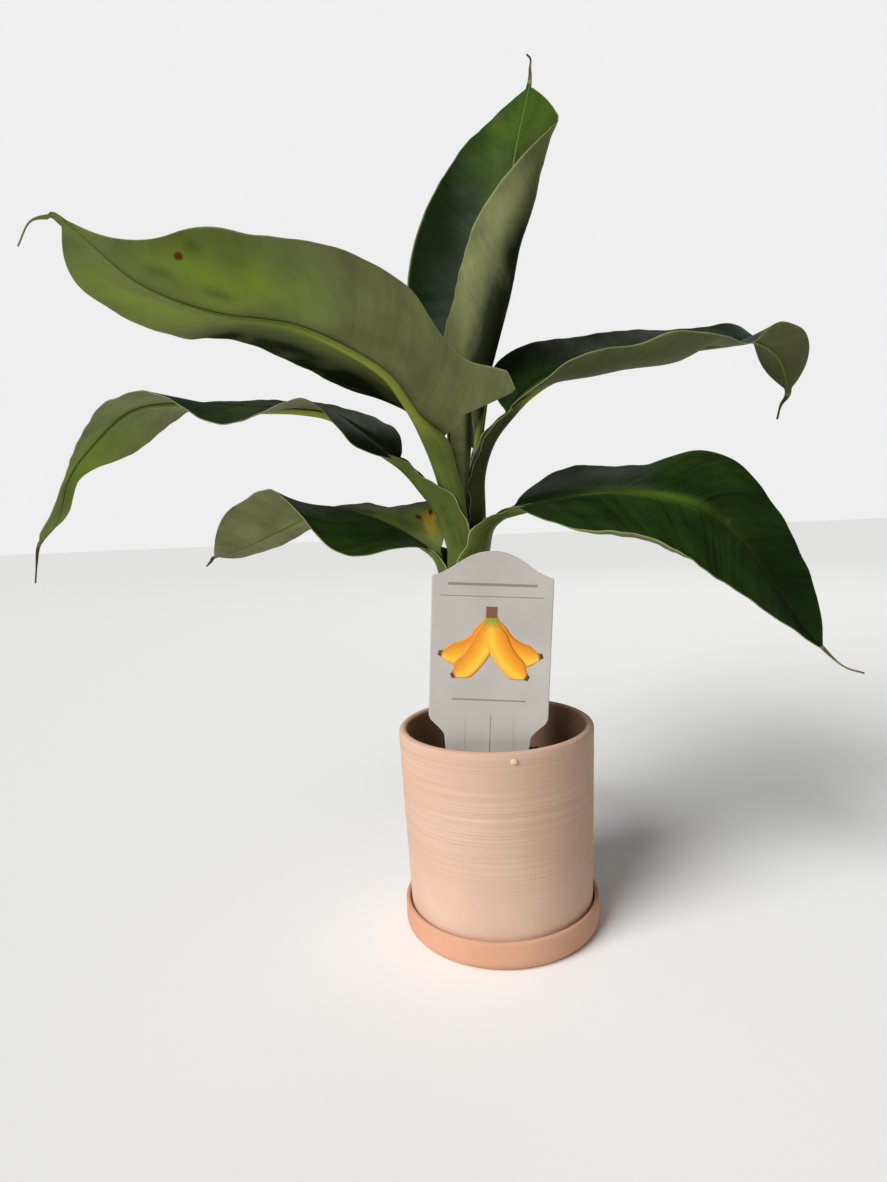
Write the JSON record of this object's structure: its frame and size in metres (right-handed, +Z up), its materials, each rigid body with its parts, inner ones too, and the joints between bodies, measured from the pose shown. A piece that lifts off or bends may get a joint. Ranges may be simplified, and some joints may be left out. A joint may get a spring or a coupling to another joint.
{
  "type": "potted banana plant",
  "caption": "Young banana plant with broad arching leaves on a short leaning stem, standing in a straight-sided clay pot on a clay saucer, with a picture tag pushed into the potting mix.",
  "frame": {"origin": "Centre of the saucer's flat underside, on the level that the plant stands on.", "axes": "+Z up the pot; +Y from the front, which the tag faces, to the back; +X to the right seen from the front."},
  "size_m": [0.5565, 0.304, 0.5836],
  "materials": {
    "terracotta_pot": "matte unglazed clay with fine level combing marks",
    "terracotta_saucer": "matte unglazed clay, a little warmer than the pot",
    "potting_mix": "damp dark peat and bark crumbs",
    "leaf_blade": "satin green leaf, glossy dark above and paler below, with fine side veins",
    "leaf_stalk": "satin yellow-green channelled stalk with a thin pale margin",
    "white_tag": "satin off-white plastic sheet with a printed picture"
  },
  "bodies": {
    "root": {"saucer": "terracotta_saucer", "pot": "terracotta_pot", "potting_mix": "potting_mix", "plant_tag": "white_tag", "pseudostem": "leaf_stalk", "young_rolled_leaf": "leaf_blade", "upright_leaf_stalk": "leaf_stalk", "upright_leaf_blade": "leaf_blade", "high_right_leaf_stalk": "leaf_stalk", "high_right_leaf_blade": "leaf_blade", "high_right_leaf_blade_end": "leaf_blade", "front_left_leaf_stalk": "leaf_stalk", "front_left_leaf_blade": "leaf_blade", "low_left_leaf_stalk": "leaf_stalk", "low_left_leaf_blade": "leaf_blade", "low_left_leaf_blade_end": "leaf_blade", "arching_left_leaf_stalk": "leaf_stalk", "arching_left_leaf_blade": "leaf_blade", "arching_left_leaf_blade_end": "leaf_blade", "low_right_leaf_stalk": "leaf_stalk", "low_right_leaf_blade": "leaf_blade", "low_right_leaf_blade_end": "leaf_blade"}
  },
  "joints": []
}
